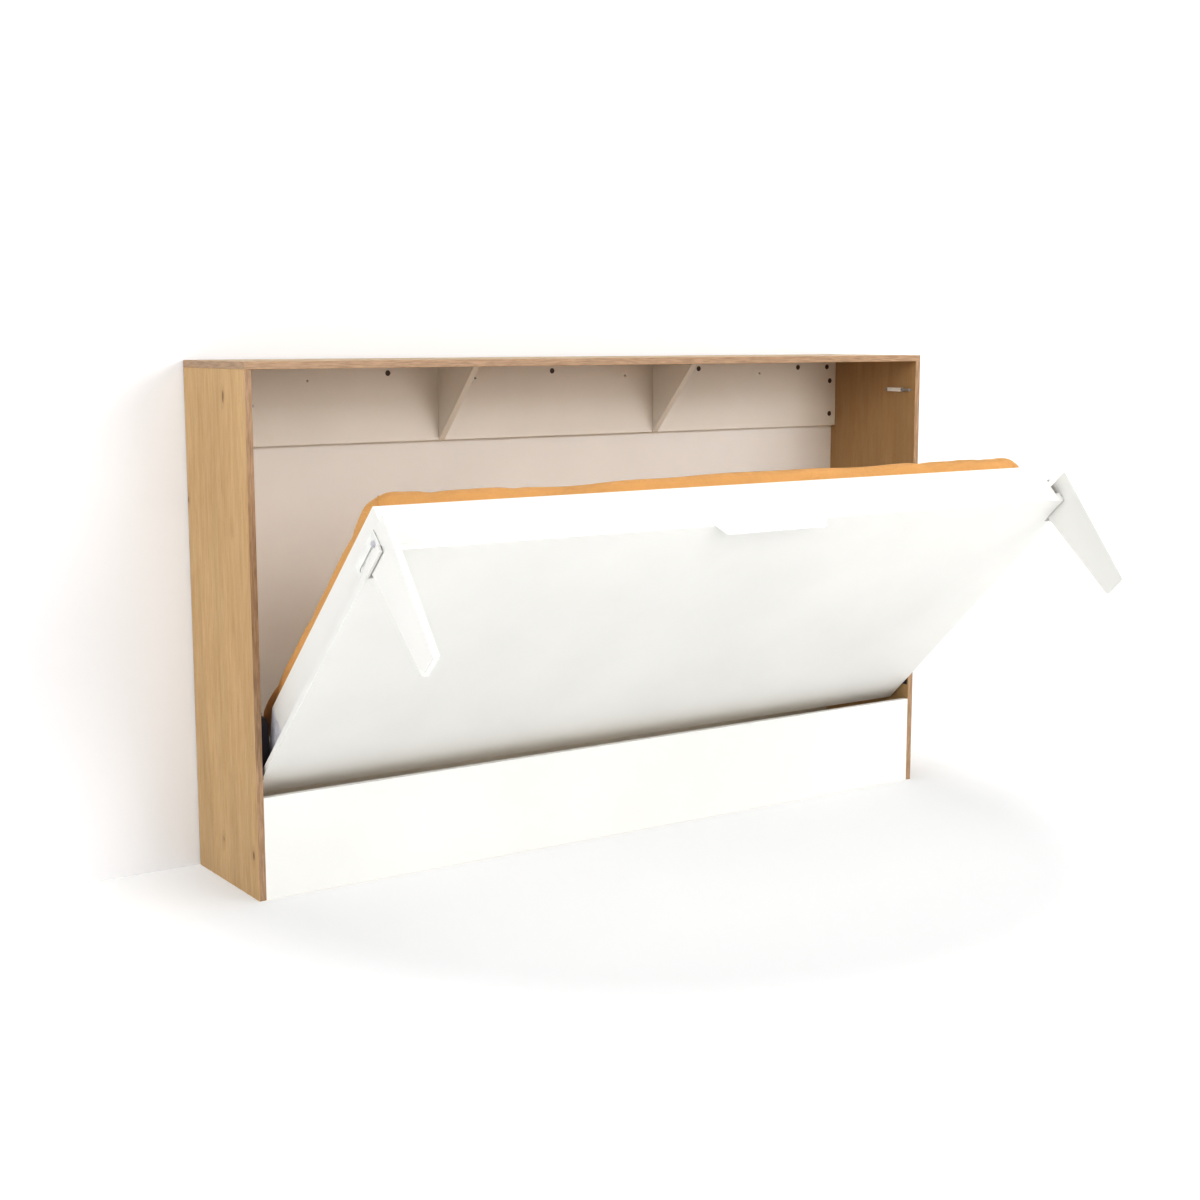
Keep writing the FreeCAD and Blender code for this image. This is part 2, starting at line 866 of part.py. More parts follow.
bolts = []
nuts = []
for name, side in SIDES.items():
    leg = board(
        f"leg_{name}",
        "YZ_Plane",
        [
            ("leg_top", "leg_top_outer"),
            ("leg_top", "-leg_top_inner"),
            ("-leg_foot", "-leg_foot_inner"),
            ("-leg_foot", "leg_foot_outer"),
        ],
        "leg",
        bed_placement(side_start(side, "leg_inner", "leg")),
    )
    drill(leg, "YZ_Plane", [leg_bolt], "leg_bush_radius")

    turned(
        f"leg_bush_{name}",
        "YZ_Plane",
        [leg_bolt],
        [("leg_bush_radius", "leg")],
        bed_placement(signed(side, "leg_inner")),
        backwards=side < 0,
        bore="leg_bolt_radius + running_gap",
    )

    glide_width = "leg - glide_margin"
    board(
        f"foot_glide_{name}",
        "YZ_Plane",
        rectangle(
            "-leg_foot - glide",
            "-leg_foot",
            "-leg_foot_inner + glide_margin",
            "leg_foot_outer - glide_margin",
        ),
        glide_width,
        bed_placement(side_start(side, "leg_inner + glide_margin / 2", glide_width)),
    )

    bolt = turned(
        f"bolt_{name}",
        "YZ_Plane",
        [leg_bolt],
        [("leg_bolt_head_radius", "leg_bolt_head"), ("leg_bolt_radius", "leg_bolt_length")],
        bed_placement(signed(side, f"{guide_outer} + leg_bolt_head")),
        backwards=side > 0,
    )
    bolts.append(bolt)

    nut = turned(
        f"nut_{name}",
        "YZ_Plane",
        [leg_bolt],
        [("nut_flange_radius", "nut_flange"), ("nut_radius", "nut_length")],
        bed_placement(signed(side, "leg_inner - nut_gap")),
        backwards=side > 0,
        bore="leg_bolt_radius",
    )
    nuts.append(nut)

    guide = new_body(f"leg_guide_{name}")
    web = new_sketch(guide, "YZ_Plane")
    web_start = size(side_start(side, "guide_inner", "guide"))
    web.AttachmentOffset = Placement(Vector(0, 0, web_start), Rotation())
    add_outline(web, rectangle("panel", "guide_top", "-guide_end", "-guide_start"))
    pad(guide, web, "guide")
    foot = new_sketch(guide, "XY_Plane")
    foot.AttachmentOffset = Placement(Vector(0, 0, size("-guide_end")), Rotation())
    add_outline(
        foot,
        [
            (signed(side, "guide_inner"), "panel"),
            (signed(side, f"{guide_outer} + guide_foot"), "panel"),
            (signed(side, f"{guide_outer} + guide_foot"), "panel + guide"),
            (signed(side, "guide_inner"), "panel + guide"),
        ],
    )
    pad(guide, foot, "guide_end - guide_foot_start")
    drill(guide, "YZ_Plane", [leg_bolt], "slot_radius")
    drill(guide, "YZ_Plane", [slot_end], "slot_radius")
    channel = new_sketch(guide, "YZ_Plane")
    add_outline(
        channel,
        rectangle(
            "leg_bolt_inset - slot_radius",
            "leg_bolt_inset + slot_radius",
            "-leg_bolt_rise - slot_length",
            "-leg_bolt_rise",
        ),
    )
    pocket(guide, channel)
    keep(guide, bed_placement())
group("leg_bolts", bolts)
group("leg_nuts", nuts)


# ---------------------------------------------------------------- checks and export

doc.recompute()
for item in doc.Objects:
    if "Invalid" in item.State or "Error" in item.State:
        raise RuntimeError(f"{item.Label}: {item.State}")
for piece in pieces:
    if piece.Shape.isNull() or not piece.Shape.isValid():
        raise RuntimeError(f"{piece.Label}: the shape is null or not valid")
    if not piece.Shape.Solids:
        raise RuntimeError(f"{piece.Label}: no solid")

os.makedirs("parts", exist_ok=True)
for piece in pieces:
    piece.Shape.exportStep(f"parts/{piece.Label}.step")
print(len(pieces), "sub-parts written")
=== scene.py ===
import json
import math

import bpy
from mathutils import Euler, Matrix, Vector
from mathutils.bvhtree import BVHTree


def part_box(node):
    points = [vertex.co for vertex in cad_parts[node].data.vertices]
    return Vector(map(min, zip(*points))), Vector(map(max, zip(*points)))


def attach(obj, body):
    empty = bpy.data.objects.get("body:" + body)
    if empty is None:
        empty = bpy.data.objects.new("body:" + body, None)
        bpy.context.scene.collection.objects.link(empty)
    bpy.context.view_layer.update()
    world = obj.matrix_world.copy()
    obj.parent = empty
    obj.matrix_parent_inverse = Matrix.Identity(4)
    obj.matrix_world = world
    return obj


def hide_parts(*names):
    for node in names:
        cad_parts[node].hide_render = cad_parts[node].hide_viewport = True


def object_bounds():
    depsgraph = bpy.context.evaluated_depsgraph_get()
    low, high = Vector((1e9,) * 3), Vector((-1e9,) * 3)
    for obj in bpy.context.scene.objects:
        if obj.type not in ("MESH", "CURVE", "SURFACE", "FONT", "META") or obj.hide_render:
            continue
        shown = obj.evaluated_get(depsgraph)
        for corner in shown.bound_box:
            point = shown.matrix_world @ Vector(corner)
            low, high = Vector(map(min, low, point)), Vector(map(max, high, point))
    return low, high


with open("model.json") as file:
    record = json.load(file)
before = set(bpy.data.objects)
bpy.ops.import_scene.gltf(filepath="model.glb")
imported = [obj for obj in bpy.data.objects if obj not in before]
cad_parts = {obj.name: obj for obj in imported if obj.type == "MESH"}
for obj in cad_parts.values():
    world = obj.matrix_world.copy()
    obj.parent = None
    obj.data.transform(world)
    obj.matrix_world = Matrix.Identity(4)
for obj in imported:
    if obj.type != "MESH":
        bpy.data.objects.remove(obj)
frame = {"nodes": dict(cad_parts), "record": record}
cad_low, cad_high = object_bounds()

JOINTS = {joint["name"]: joint for joint in frame["record"]["behaviour"]["joints"]}
PIVOT = Vector(JOINTS["bed_fold"]["pos_m"])
TILT = math.radians(-JOINTS["bed_fold"]["range_deg"][0])
UPRIGHT = Matrix.Translation(PIVOT) @ Matrix.Rotation(-TILT, 4, "X") @ Matrix.Translation(-PIVOT)
AT_REST = UPRIGHT.inverted()
SLOT_OF = {part["node"]: part["material_slot"] for part in frame["record"]["subparts"]}


def upright_box(node):
    """Lowest and highest corner of a bed part with the bed folded up, in metres."""
    corners = [UPRIGHT @ vertex.co for vertex in frame["nodes"][node].data.vertices]
    low = Vector([min(corner[axis] for corner in corners) for axis in range(3)])
    high = Vector([max(corner[axis] for corner in corners) for axis in range(3)])
    return low, high


# ---------------------------------------------------------------- materials


class Finish:
    """A node material built round one Principled BSDF, in object coordinates."""

    def __init__(self, name, colour, roughness, metallic=0.0):
        self.material = bpy.data.materials.new(name)
        self.material.use_nodes = True
        self.material.diffuse_color = (*colour, 1)
        self.tree = self.material.node_tree
        self.shader = self.tree.nodes["Principled BSDF"]
        self.colour = colour
        self.set("Base Color", (*colour, 1))
        self.set("Roughness", roughness)
        self.set("Metallic", metallic)
        self.place = self.node("ShaderNodeTexCoord")

    def set(self, socket, value):
        self.shader.inputs[socket].default_value = value

    def node(self, kind, **settings):
        made = self.tree.nodes.new(kind)
        for name, value in settings.items():
            setattr(made, name, value)
        return made

    def feed(self, node, socket, value):
        """Links an output to a socket, or sets the socket's own value."""
        if isinstance(value, bpy.types.NodeSocket):
            self.tree.links.new(value, node.inputs[socket])
        else:
            node.inputs[socket].default_value = value

    def space(self, grain=(1, 1, 1), tilt=0.0, shift=(0, 0, 0)):
        """Object coordinates, moved by shift, turned by tilt about X and stretched along the grain."""
        mapping = self.node("ShaderNodeMapping", vector_type="TEXTURE")
        self.feed(mapping, "Vector", self.place.outputs["Object"])
        self.feed(mapping, "Rotation", (tilt, 0, 0))
        self.feed(mapping, "Scale", grain)
        self.feed(mapping, "Location", shift)
        return mapping.outputs[0]

    def noise(self, space, scale, detail=4, roughness=0.55, distortion=0.0):
        made = self.node("ShaderNodeTexNoise")
        self.feed(made, "Vector", space)
        self.feed(made, "Scale", scale)
        self.feed(made, "Detail", detail)
        self.feed(made, "Roughness", roughness)
        self.feed(made, "Distortion", distortion)
        return made.outputs["Fac"]

    def wave(self, space, scale, distortion, direction):
        made = self.node("ShaderNodeTexWave", bands_direction=direction)
        self.feed(made, "Vector", space)
        self.feed(made, "Scale", scale)
        self.feed(made, "Distortion", distortion)
        self.feed(made, "Detail", 1.0)
        self.feed(made, "Detail Scale", 2.0)
        return made.outputs["Fac"]

    def cells(self, space, scale):
        made = self.node("ShaderNodeTexVoronoi")
        self.feed(made, "Vector", space)
        self.feed(made, "Scale", scale)
        return made.outputs["Distance"]

    def ramp(self, factor, low, high, start=0.0, end=1.0):
        """factor between low and high becomes start to end."""
        made = self.node("ShaderNodeMapRange")
        self.feed(made, "Value", factor)
        self.feed(made, "From Min", low)
        self.feed(made, "From Max", high)
        self.feed(made, "To Min", start)
        self.feed(made, "To Max", end)
        return made.outputs["Result"]

    def maths(self, operation, first, second=0.0):
        made = self.node("ShaderNodeMath", operation=operation)
        self.feed(made, 0, first)
        self.feed(made, 1, second)
        return made.outputs[0]

    def blend(self, factor, first, second):
        made = self.node("ShaderNodeMix", data_type="RGBA")
        self.feed(made, "Factor", factor)
        self.feed(made, 6, first)
        self.feed(made, 7, second)
        return made.outputs[2]

    def facing(self, axis):
        """1 where a surface faces along the axis, 0 where it lies along it."""
        split = self.node("ShaderNodeSeparateXYZ")
        self.feed(split, 0, self.place.outputs["Normal"])
        return self.maths("ABSOLUTE", split.outputs[axis])

    def paint(self, colour):
        self.feed(self.shader, "Base Color", colour)

    def polish(self, roughness):
        self.feed(self.shader, "Roughness", roughness)

    def relief(self, *layers):
        """Stacks bump layers, each (height, depth in metres)."""
        under = None
        for height, depth in layers:
            made = self.node("ShaderNodeBump")
            self.feed(made, "Height", height)
            self.feed(made, "Strength", 1.0)
            self.feed(made, "Distance", depth)
            if under:
                self.feed(made, "Normal", under)
            under = made.outputs[0]
        self.feed(self.shader, "Normal", under)


def shade(colour, factor):
    return (*[channel * factor for channel in colour], 1)


OAK = (0.60, 0.425, 0.23)
OAK_STREAK = (0.46, 0.28, 0.12, 1)
OAK_FIBRE = (0.45, 0.275, 0.12, 1)
OAK_PORE = (0.27, 0.15, 0.066, 1)
KNOT_HALO = (0.36, 0.21, 0.095, 1)
KNOT_HEART = (0.13, 0.07, 0.035, 1)
EDGE_BAND = (0.47, 0.325, 0.21, 1)
EDGE_FIBRE = (0.31, 0.20, 0.12, 1)


def oak_board(name, grain, flat, edge_grain, face_axis, shift, painted_shade_tone=1.0, coat=0.0):
    """Oak decor: pores and streaks along the grain, a few small knots, a plainer band on the edges.

    flat squeezes the face's own axis away, so that a knot shows as a flat patch; shift moves the knots.
    """
    # painted_shade_tone below 1 darkens the whole board as painted shade
    base = [channel * painted_shade_tone for channel in OAK]
    finish = Finish(name, base, 0.42)
    finish.set("Coat Weight", coat)
    finish.set("Coat Roughness", 0.32)
    stretched = finish.space(grain)
    bands = finish.noise(stretched, 19, 3, 0.5, 0.4)
    streaks = finish.noise(stretched, 62, 4, 0.6, 0.3)
    fibres = finish.noise(stretched, 210, 6, 0.62, 0.2)
    pores = finish.noise(finish.space([max(1, length * 0.35) for length in grain]), 620, 3)
    knots_at = finish.space(flat, shift=shift)
    knot = finish.cells(knots_at, 5.5)
    rag = finish.ramp(finish.noise(knots_at, 42, 3), 0.3, 0.7, -0.03, 0.03)
    ragged = finish.maths("ADD", knot, rag)
    body = finish.blend(finish.ramp(bands, 0.3, 0.7), shade(base, 1.05), shade(base, 0.93))
    body = finish.blend(finish.ramp(streaks, 0.42, 0.70, 0, 0.50), body, OAK_STREAK)
    body = finish.blend(finish.ramp(fibres, 0.42, 0.68, 0, 0.34), body, OAK_FIBRE)
    body = finish.blend(finish.ramp(pores, 0.60, 0.74, 0, 0.35), body, OAK_PORE)
    body = finish.blend(finish.ramp(ragged, 0.16, 0.03, 0, 0.36), body, KNOT_HALO)
    body = finish.blend(finish.ramp(ragged, 0.052, 0.024, 0, 0.70), body, KNOT_HEART)
    band = finish.noise(finish.space(edge_grain), 300, 5, 0.6, 0.2)
    edge = finish.blend(finish.ramp(band, 0.38, 0.68), EDGE_BAND, EDGE_FIBRE)
    finish.paint(finish.blend(finish.facing(face_axis), edge, body))
    finish.polish(finish.ramp(fibres, 0.3, 0.7, 0.36, 0.52))
    finish.relief((pores, 0.00008), (fibres, 0.00010))
    return finish.material


def melamine(name, colour, roughness=0.34, mottle=0.03):
    """A melamine face: a faint orange peel under a satin gloss."""
    finish = Finish(name, colour, roughness)
    cloudy = finish.noise(finish.space(), 2.2, 3)
    peel = finish.noise(finish.space(), 900, 2)
    speck = finish.noise(finish.space(), 240, 5, 0.7)
    lighter, darker = shade(colour, 1 + mottle / 2), shade(colour, 1 - mottle)
    body = finish.blend(finish.ramp(cloudy, 0.3, 0.7), lighter, darker)
    finish.paint(finish.blend(finish.ramp(speck, 0.62, 0.8, 0, 0.06), body, shade(colour, 0.72)))
    finish.polish(finish.ramp(cloudy, 0.3, 0.7, roughness - 0.04, roughness + 0.06))
    finish.relief((peel, 0.00003))
    return finish.material


def birch(name, grain, tilt):
    base = (0.66, 0.46, 0.26)
    finish = Finish(name, base, 0.5)
    along = finish.space(grain, tilt)
    bands = finish.noise(along, 24, 3, 0.5, 0.5)
    fibres = finish.noise(along, 260, 5, 0.6)
    body = finish.blend(finish.ramp(bands, 0.3, 0.7), shade(base, 1.1), shade(base, 0.85))
    finish.paint(finish.blend(finish.ramp(fibres, 0.4, 0.7, 0, 0.4), body, (0.45, 0.27, 0.13, 1)))
    finish.polish(finish.ramp(fibres, 0.3, 0.7, 0.42, 0.6))
    finish.relief((fibres, 0.00015))
    return finish.material


def powder_coat(name, colour, roughness):
    finish = Finish(name, colour, roughness)
    grit = finish.noise(finish.space(), 1400, 3)
    cloudy = finish.noise(finish.space(), 30, 3)
    finish.paint(finish.blend(finish.ramp(cloudy, 0.3, 0.7), shade(colour, 1.05), shade(colour, 0.9)))
    finish.polish(finish.ramp(grit, 0.3, 0.7, roughness - 0.06, roughness + 0.08))
    finish.relief((grit, 0.00004))
    return finish.material


def plated(name, colour, roughness, brushed, metallic=1.0):
    finish = Finish(name, colour, roughness, metallic)
    scratch = finish.noise(finish.space(brushed), 420, 5, 0.6)
    cloudy = finish.noise(finish.space(), 45, 4)
    finish.paint(finish.blend(finish.ramp(cloudy, 0.3, 0.7), shade(colour, 1.08), shade(colour, 0.82)))
    finish.polish(finish.ramp(scratch, 0.3, 0.7, roughness - 0.1, roughness + 0.12))
    finish.relief((scratch, 0.00002))
    return finish.material


def moulded(name, colour, roughness):
    finish = Finish(name, colour, roughness)
    fine = finish.noise(finish.space(), 1100, 3)
    cloudy = finish.noise(finish.space(), 60, 2)
    finish.paint(finish.blend(finish.ramp(cloudy, 0.3, 0.7), shade(colour, 1.04), shade(colour, 0.94)))
    finish.polish(finish.ramp(fine, 0.3, 0.7, roughness - 0.05, roughness + 0.08))
    finish.relief((fine, 0.00003))
    return finish.material


def jersey(name, colour):
    """Knitted cotton: ribs of fine stitches, soft fuzz and long shallow creases."""
    finish = Finish(name, colour, 0.86)
    finish.set("Sheen Weight", 0.35)
    finish.set("Sheen Roughness", 0.5)
    finish.set("Sheen Tint", (1.0, 0.72, 0.42, 1))
    bed = finish.space((1, 1, 1), TILT)
    columns = finish.wave(bed, 130, 0.4, "X")
    rows = finish.wave(bed, 100, 0.6, "Z")
    sides = finish.wave(bed, 100, 0.6, "Y")
    stitches = finish.maths("MULTIPLY", columns, finish.maths("MAXIMUM", rows, sides))
    fuzz = finish.noise(bed, 420, 4, 0.65)
    creases = finish.noise(finish.space((1.0, 1.0, 2.4), TILT), 13, 4, 0.55, 0.8)
    cloudy = finish.noise(bed, 3.0, 3)
    body = finish.blend(finish.ramp(cloudy, 0.3, 0.7), shade(colour, 1.07), shade(colour, 0.92))
    # darker where the stitches sink: painted shade in the knit's hollows
    body = finish.blend(finish.ramp(stitches, 0.1, 0.8, 0.22, 0), body, shade(colour, 0.62))
    finish.paint(finish.blend(finish.ramp(fuzz, 0.5, 0.75, 0, 0.25), body, (0.95, 0.60, 0.30, 1)))
    finish.relief((creases, 0.010), (stitches, 0.00035), (fuzz, 0.00012))
    return finish.material


WHITE = (0.80, 0.796, 0.772)
MATERIALS = {
    "white_board": melamine("white_melamine", WHITE),
    "cream_board": melamine("cream_melamine", (0.89, 0.885, 0.855), 0.40, 0.04),
    "back_board": melamine("back_lacquer", (0.90, 0.905, 0.90), 0.45, 0.04),
    "mattress_cover": jersey("orange_jersey", (0.72, 0.415, 0.165)),
    "white_steel": powder_coat("white_powder_coat", (0.82, 0.825, 0.805), 0.36),
    "black_steel": powder_coat("black_powder_coat", (0.046, 0.037, 0.046), 0.42),
    "zinc_steel": plated("zinc_plate", (0.70, 0.69, 0.73), 0.34, (1, 1, 6)),
    "dark_cam": powder_coat("dark_bronze", (0.085, 0.048, 0.030), 0.38),
    "white_plastic": moulded("white_nylon", (0.86, 0.86, 0.84), 0.42),
    "grey_plastic": moulded("grey_plastic", (0.36, 0.36, 0.37), 0.38),
}
UPRIGHT_GRAIN = (1, 1, 14)
LENGTHWISE_GRAIN = (14, 1, 1)
FLAT_ALONG_X = (1000, 0.55, 1.3)
FLAT_ALONG_Z = (1.3, 0.55, 1000)
OAK_LEFT = oak_board("oak_left", UPRIGHT_GRAIN, FLAT_ALONG_X, UPRIGHT_GRAIN, 0, (0, 0.31, 0.12))
# the right panel's oak is darkened to 0.85: painted shade for the shade on its inner face, which its outer
# face takes too
OAK_RIGHT_SHADED = oak_board("oak_right_shaded", UPRIGHT_GRAIN, FLAT_ALONG_X, UPRIGHT_GRAIN, 0, (0, 1.87, 0.55), 0.85)
OAK_TOP = oak_board("oak_top", LENGTHWISE_GRAIN, FLAT_ALONG_Z, (14, 14, 1), 2, (0.4, 0.2, 0), coat=0.3)
GALVANISED = plated("galvanised", (0.80, 0.79, 0.84), 0.45, (1, 1, 5), 0.15)
BIRCH_SLAT = birch("birch_slat", (1, 1, 14), TILT)
BIRCH_CLEAT = birch("birch_cleat", (14, 1, 1), TILT)
BY_NODE = {
    "side_panel_left": OAK_LEFT,
    "side_panel_right": OAK_RIGHT_SHADED,
    "top_panel": OAK_TOP,
    "hinge_bracket_left": GALVANISED,
    "hinge_bracket_right": GALVANISED,
    "slat_cleat_free_edge": BIRCH_CLEAT,
    "slat_cleat_hinge_edge": BIRCH_CLEAT,
}

for node, piece in frame["nodes"].items():
    material = BY_NODE.get(node) or MATERIALS.get(SLOT_OF[node], BIRCH_SLAT)
    for held in piece.material_slots:
        held.material = material

# ---------------------------------------------------------------- mattress

VOXEL = 0.011
SWELL_FRAMES = 20
EASE_STEPS = 6

# how far the sheet may swell, sink and pull in, and the play between it and the boards
MATTRESS_CROWN = 0.012
MOST_SWELL = 0.012
MOST_SINK = 0.002
PULL_IN = 0.15
END_PLAY = 0.0045
EDGE_PLAY = 0.0012
RIM_OVERHANG = 0.006
RIM_GAP = 0.002
RIM_SOFTNESS = 0.010

# the sleeping face: waves of (height, turns along X, turns along Z, start), a hollow and corner folds
FACE_DEPTH = 0.05
WAVES = [(0.0022, 9.5, 0, 0.8), (0.0014, 21, 7, 0)]
HOLLOW_AT = -0.53
HOLLOW_WIDTH = 0.18
HOLLOW_LENGTH = 0.25
HOLLOW_DEPTH = 0.014
FOLD_HEIGHT = 0.0016
FOLD_REACH = 0.10
FOLDS_ROUND = 11

SEAM_RADIUS = 0.0016
SEAM_STEPS = 28
SEAM_FROM = -20
SEAM_TO = 85
SEAM_CENTRE_IN = 0.12
SEAM_CENTRE_DOWN = 0.10
SEAM_SEARCH = 0.4
SEAM_PROUD = 0.00048


def mattress():
    """A fitted sheet over a foam core: swollen by cloth simulation and held by the bed frame."""
    core = frame["nodes"]["mattress"]
    mesh = core.data.copy()
    mesh.transform(UPRIGHT @ core.matrix_world)
    piece = bpy.data.objects.new("mattress_sheet", mesh)
    bpy.context.collection.objects.link(piece)
    remesh = piece.modifiers.new("even_mesh", "REMESH")
    remesh.mode = "VOXEL"
    remesh.voxel_size = VOXEL
    apply_modifiers(piece)
    start = [vertex.co.copy() for vertex in piece.data.vertices]
    swell(piece)
    settle(piece, start)
    ease = piece.modifiers.new("ease_steps", "SMOOTH")
    ease.factor = 0.5
    ease.iterations = EASE_STEPS
    smooth = piece.modifiers.new("smooth_sheet", "SUBSURF")
    smooth.levels = smooth.render_levels = 1
    apply_modifiers(piece)
    piece.data.transform(AT_REST)
    for polygon in piece.data.polygons:
        polygon.use_smooth = True
    piece.data.materials.clear()
    piece.data.materials.append(MATERIALS["mattress_cover"])
    return piece


def apply_modifiers(piece):
    """Makes the evaluated shape the piece's own mesh."""
    graph = bpy.context.evaluated_depsgraph_get()
    made = bpy.data.meshes.new_from_object(piece.evaluated_get(graph))
    piece.modifiers.clear()
    piece.data = made


def swell(piece):
    """Presses the sheet outwards from inside, as the foam core does."""
    cloth = piece.modifiers.new("swell", "CLOTH")
    settings = cloth.settings
    settings.quality = 5
    settings.mass = 0.3
    settings.use_pressure = True
    settings.uniform_pressure_force = 3.0
    settings.shrink_min = -0.02
    settings.tension_stiffness = 12
    settings.compression_stiffness = 12
    settings.bending_stiffness = 0.4
    settings.effector_weights.gravity = 0
    cloth.collision_settings.use_collision = False
    scene = bpy.context.scene
    scene.frame_start, scene.frame_end = 1, SWELL_FRAMES
    cloth.point_cache.frame_start, cloth.point_cache.frame_end = 1, SWELL_FRAMES
    for frame_number in range(1, SWELL_FRAMES + 1):
        scene.frame_set(frame_number)
    apply_modifiers(piece)
    scene.frame_set(1)


def limited(value, low, high):
    return max(low, min(high, value))


def smooth_step(value, low, high):
    share = limited((value - low) / (high - low), 0.0, 1.0)
    return share * share * (3 - 2 * share)


def face_height(place, low, high):
    """How far the sleeping face stands over or under a level plane, with its waves, hollow and folds."""
    height = 0.0
    for size, along, up, start in WAVES:
        height += size * math.sin(along * place.x + up * place.z + start)
    near_top = math.exp(-max(0.0, high.z - place.z) / HOLLOW_LENGTH)
    height -= HOLLOW_DEPTH * math.exp(-(((place.x - HOLLOW_AT) / HOLLOW_WIDTH) ** 2)) * near_top
    for x in (low.x, high.x):
        for z in (low.z, high.z):
            away = math.hypot(place.x - x, place.z - z)
            turn = math.atan2(place.z - z, place.x - x)
            height += FOLD_HEIGHT * math.exp(-away / FOLD_REACH) * math.sin(FOLDS_ROUND * turn)
    return height


def settle(piece, start):
    """Keeps the swollen sheet inside its frame and gives its sleeping face soft waves and folds."""
    low, high = upright_box("mattress")
    rim = upright_box("free_edge_board")[1].y + RIM_GAP
    middle = (low.y + high.y) / 2
    stretch = 1 + END_PLAY / high.x
    for vertex, was in zip(piece.data.vertices, start):
        moved = vertex.co - was
        place = Vector((was.x * stretch + moved.x * PULL_IN, was.y, was.z + moved.z * PULL_IN))
        place.y += limited(moved.y, -MOST_SINK, MOST_SWELL)
        lift = smooth_step(was.y, middle, middle + FACE_DEPTH)
        place.y += lift * face_height(place, low, high)
        # below the boards' rim the sheet is held between them; above it, it swells over them
        over = RIM_OVERHANG * smooth_step(was.y, rim, rim + RIM_SOFTNESS)
        place.x = limited(place.x, low.x - END_PLAY - over, high.x + END_PLAY + over)
        place.z = limited(place.z, low.z - EDGE_PLAY - over, high.z + EDGE_PLAY + over)
        place.y = limited(place.y, low.y, high.y + MATTRESS_CROWN)
        vertex.co = place


def corner_seams(sheet_piece):
    """The four sewn corner seams of the fitted sheet, laid on its surface."""
    low, high = upright_box("mattress")
    to_upright = UPRIGHT @ sheet_piece.matrix_world
    surface = BVHTree.FromPolygons(
        [to_upright @ vertex.co for vertex in sheet_piece.data.vertices],
        [polygon.vertices[:] for polygon in sheet_piece.data.polygons],
    )
    curve = bpy.data.curves.new("corner_seams", "CURVE")
    curve.dimensions = "3D"
    curve.bevel_depth = SEAM_RADIUS
    curve.bevel_resolution = 2
    for x, inwards_x in ((low.x, 1), (high.x, -1)):
        for z, inwards_z in ((low.z, 1), (high.z, -1)):
            outwards = Vector((-inwards_x, 0, -inwards_z)).normalized()
            centre = Vector((x, high.y - SEAM_CENTRE_DOWN, z))
            centre += Vector((inwards_x, 0, inwards_z)) * SEAM_CENTRE_IN
            points = []
            for step in range(SEAM_STEPS + 1):
                rise = math.radians(SEAM_FROM + (SEAM_TO - SEAM_FROM) * step / SEAM_STEPS)
                way = outwards * math.cos(rise) + Vector((0, math.sin(rise), 0))
                found = surface.ray_cast(centre + way * SEAM_SEARCH, -way)[0]
                if found:
                    points.append(AT_REST @ (found + way * SEAM_PROUD))
            spline = curve.splines.new("POLY")
            spline.points.add(len(points) - 1)
            for point, place in zip(spline.points, points):
                point.co = (*place, 1)
    seams = bpy.data.objects.new("corner_seams", curve)
    bpy.context.collection.objects.link(seams)
    curve.materials.append(MATERIALS["mattress_cover"])
    return seams


sheet = mattress()
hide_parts("mattress")
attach(sheet, "bed_frame")
seams = corner_seams(sheet)
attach(seams, "bed_frame")

# ---------------------------------------------------------------- stage, lights and camera


def plane(name, corners, colour, glow=0.0, glow_colour=(1, 1, 1, 1)):
    """A matt studio surface with a soft light of its own."""
    mesh = bpy.data.meshes.new(name)
    mesh.from_pydata(corners, [], [(0, 1, 2, 3)])
    piece = bpy.data.objects.new(name, mesh)
    bpy.context.collection.objects.link(piece)
    finish = Finish(name, colour, 0.9)
    finish.set("Specular IOR Level", 0.1)
    cloudy = finish.noise(finish.space(), 0.7, 2)
    finish.paint(finish.blend(cloudy, shade(colour, 1.0), shade(colour, 0.985)))
    finish.set("Emission Color", glow_colour)
    finish.set("Emission Strength", glow)
    mesh.materials.append(finish.material)
    return piece, finish


def level(reach, near, far, height=0.0):
    return [(-reach, near, height), (reach, near, height), (reach, far, height), (-reach, far, height)]


def upright(reach, depth, top):
    return [(-reach, depth, 0), (reach, depth, 0), (reach, depth, top), (-reach, depth, top)]


FLOOR_REACH = 40.0
FLOOR_COLOUR = (0.48, 0.48, 0.48)
GLOW_CENTRE = (0, -0.5, 0)
GLOW_NEAR = 1.0
GLOW_FAR = 1.6
PATCH_LIFT = 0.0002
PATCH_SHADE_COLOUR = (0.86, 0.72, 0.52)
PATCH_LIGHT = (1.0, 0.84, 0.58, 1)
WALL_GAP = 0.004
WALL_HEIGHT = 12.0
WALL_COLOUR = (0.765, 0.77, 0.785)
SCREEN_REACH = 30.0
SCREEN_COLOUR = (0.8, 0.8, 0.795)

# the floor inside the cabinet is duller and warmer than the studio floor round it: painted shade and a
# painted warm glow, for the cabinet's shade and the oak's warm bounce there
cabinet_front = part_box("side_panel_left")[0].y
patch = level(cad_high.x, cabinet_front, 0, PATCH_LIFT)
plane("floor_in_cabinet", patch, PATCH_SHADE_COLOUR, 0.12, PATCH_LIGHT)

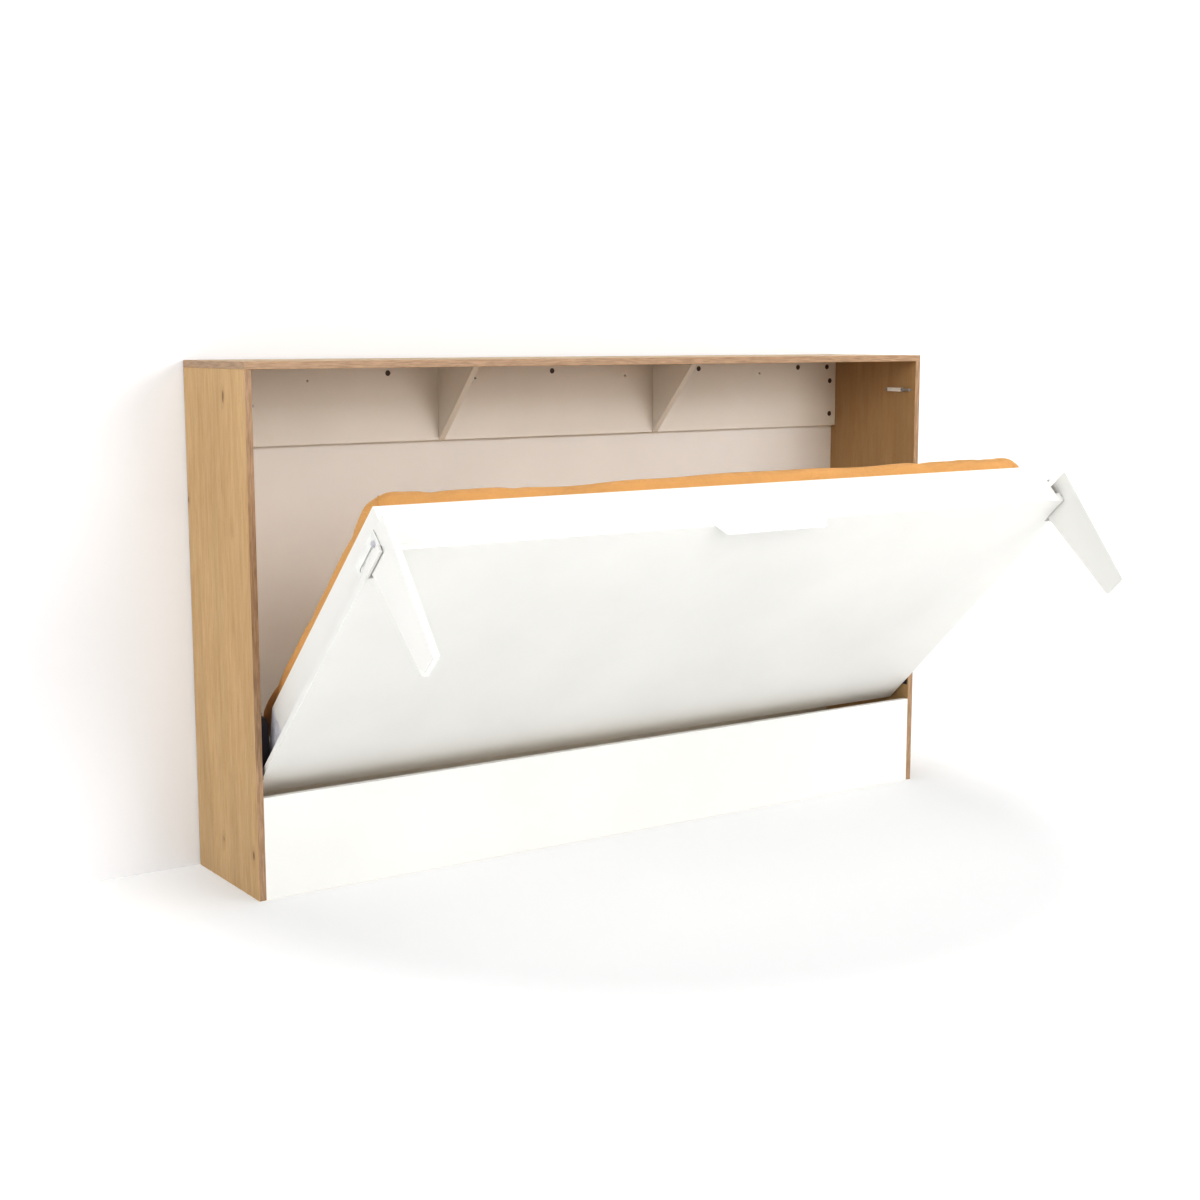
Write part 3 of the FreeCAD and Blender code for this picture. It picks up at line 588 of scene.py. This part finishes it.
# the studio floor glows brighter further away from the bed: painted light, and painted shade near the bed
floor_finish = plane("floor", level(FLOOR_REACH, -FLOOR_REACH, FLOOR_REACH), FLOOR_COLOUR)[1]
reach = floor_finish.node("ShaderNodeVectorMath", operation="LENGTH")
floor_finish.feed(reach, 0, floor_finish.space(shift=GLOW_CENTRE))
glow = floor_finish.ramp(reach.outputs["Value"], GLOW_NEAR, GLOW_FAR, 0.40, 0.70)
glow.node.interpolation_type = "SMOOTHSTEP"
floor_finish.feed(floor_finish.shader, "Emission Strength", glow)

# the wall takes the cabinet's soft shadow and sends no diffuse light back
wall, wall_finish = plane("wall", upright(FLOOR_REACH, WALL_GAP, WALL_HEIGHT), WALL_COLOUR, 0.12)
wall.visible_diffuse = wall.visible_transmission = wall.visible_shadow = False

# it is one-sided, so that the cabinet's back can be seen through it
clear = wall_finish.node("ShaderNodeBsdfTransparent")
sided = wall_finish.node("ShaderNodeMixShader")
geometry = wall_finish.node("ShaderNodeNewGeometry")
wall_finish.feed(sided, 0, geometry.outputs["Backfacing"])
wall_finish.feed(sided, 1, wall_finish.shader.outputs[0])
wall_finish.feed(sided, 2, clear.outputs[0])
wall_finish.feed(wall_finish.tree.nodes["Material Output"], "Surface", sided.outputs[0])

# pale screens far away close the studio on all four sides and light nothing
for quarter in range(4):
    turn = Matrix.Rotation(math.radians(90 * quarter), 3, "Z")
    corners = [tuple(turn @ Vector(corner)) for corner in upright(SCREEN_REACH, SCREEN_REACH, SCREEN_REACH)]
    screen = plane(f"screen_{quarter}", corners, SCREEN_COLOUR, 0.85)[0]
    screen.visible_diffuse = screen.visible_glossy = False
    screen.visible_transmission = screen.visible_shadow = False

scene = bpy.context.scene
world = bpy.data.worlds.new("studio")
world.use_nodes = True
background = world.node_tree.nodes["Background"].inputs
background["Color"].default_value = (1.0, 1.0, 1.0, 1)
background["Strength"].default_value = 0.40
scene.world = world
scene.view_settings.view_transform = "Standard"
scene.view_settings.look = "None"
scene.view_settings.gamma = 0.72

LIGHT_TARGET = Vector((0, -0.4, 0.8))
LIGHT_DISTANCE = 6.0


def soft_light(name, azimuth, elevation, width, height, power):
    """A softbox round the cabinet: azimuth 0 shines along +Y and 90 along -X."""
    turn, rise = math.radians(azimuth), math.radians(elevation)
    away = Vector((math.sin(turn) * math.cos(rise), -math.cos(turn) * math.cos(rise), math.sin(rise)))
    light = bpy.data.lights.new(name, "AREA")
    light.shape = "RECTANGLE"
    light.size, light.size_y = width, height
    light.energy = power
    lamp = bpy.data.objects.new(name, light)
    lamp.location = LIGHT_TARGET + away * LIGHT_DISTANCE
    lamp.rotation_euler = away.to_track_quat("Z", "Y").to_euler()
    bpy.context.collection.objects.link(lamp)


soft_light("front_high", -18, 32, 3.0, 3.0, 82)
soft_light("front_low", 20, 13, 3.4, 2.4, 114)
soft_light("left_side", -75, 15, 3.0, 3.0, 116)
soft_light("right_side", 55, 28, 3.0, 3.0, 130)
soft_light("overhead", 0, 78, 3.0, 3.0, 40)

CAMERA_PLACE = (-2.7488, -4.3034, 1.3524)
CAMERA_TURN = math.radians(-34.20)
CAMERA_DIP = math.radians(8.37)
CAMERA_ROLL = math.radians(-0.07)
CAMERA_LENS = 53.898

camera = bpy.data.objects.new("camera", bpy.data.cameras.new("camera"))
camera.location = CAMERA_PLACE
looking = Euler((math.radians(90) - CAMERA_DIP, 0, CAMERA_TURN)).to_matrix()
camera.rotation_euler = (looking @ Matrix.Rotation(CAMERA_ROLL, 3, "Z")).to_euler()
camera.data.lens = CAMERA_LENS
camera.data.sensor_width = 36
bpy.context.collection.objects.link(camera)
scene.camera = camera
